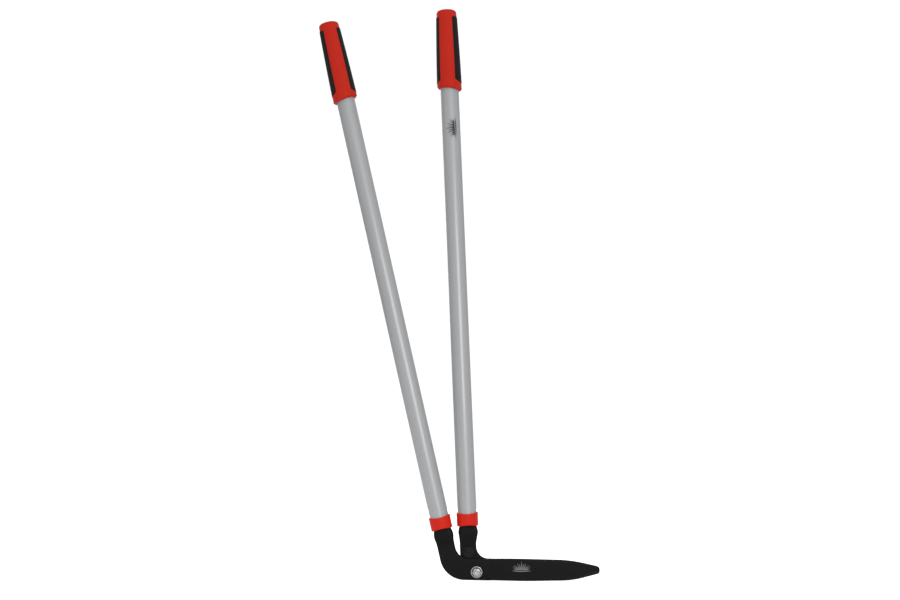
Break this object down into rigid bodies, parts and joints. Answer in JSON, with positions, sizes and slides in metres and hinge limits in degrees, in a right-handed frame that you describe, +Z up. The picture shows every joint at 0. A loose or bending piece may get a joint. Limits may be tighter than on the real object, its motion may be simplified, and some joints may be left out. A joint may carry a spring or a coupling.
{
  "type": "grass shears",
  "caption": "Long-handled lawn edging shears: two crossed blades at right angles to a pair of tubular handles with soft grips, turning on one bolted pivot.",
  "frame": {"origin": "on the pivot's axis, midway between the two blades", "axes": "+Z up along the handles towards the grips, +X out along the blades, -Y towards the nut, with the blades closed"},
  "size_m": [0.4816, 0.0497, 0.9858],
  "materials": {
    "coated_blade_steel": "satin black low-friction coating",
    "handle_tube": "satin silver",
    "red_grip": "moulded satin",
    "red_collar": "moulded satin",
    "soft_pad": "matte",
    "nylon_plug": "moulded",
    "plated_steel": "bright zinc plated",
    "spring_steel": "dark phosphated spring steel",
    "bush_steel": "turned",
    "slide_washer": "low friction",
    "nut_nylon": "nylon",
    "buffer_rubber": "matte"
  },
  "bodies": {
    "rear_lever": {"rear_blade": "coated_blade_steel", "rear_tube": "handle_tube", "rear_socket": "nylon_plug", "rear_tang_pin": "plated_steel", "rear_collar": "red_collar", "rear_grip": "red_grip", "rear_grip_pad_outer": "soft_pad", "rear_grip_pad_inner": "soft_pad", "pivot_bolt": "plated_steel", "blade_washer": "slide_washer", "flat_washer": "plated_steel", "spring_washer": "spring_steel", "pivot_nut": "plated_steel", "nut_insert": "nut_nylon", "stop_buffer": "buffer_rubber"},
    "front_lever": {"front_blade": "coated_blade_steel", "front_tube": "handle_tube", "front_socket": "nylon_plug", "front_tang_pin": "plated_steel", "front_collar": "red_collar", "front_grip": "red_grip", "front_grip_pad_outer": "soft_pad", "front_grip_pad_inner": "soft_pad", "pivot_bush": "bush_steel"}
  },
  "joints": [
    {"name": "blade_pivot", "type": "hinge", "parent": "rear_lever", "child": "front_lever", "pos_m": [0, 0, 0], "axis": [0, -1, 0], "range_deg": [0, 45]}
  ]
}
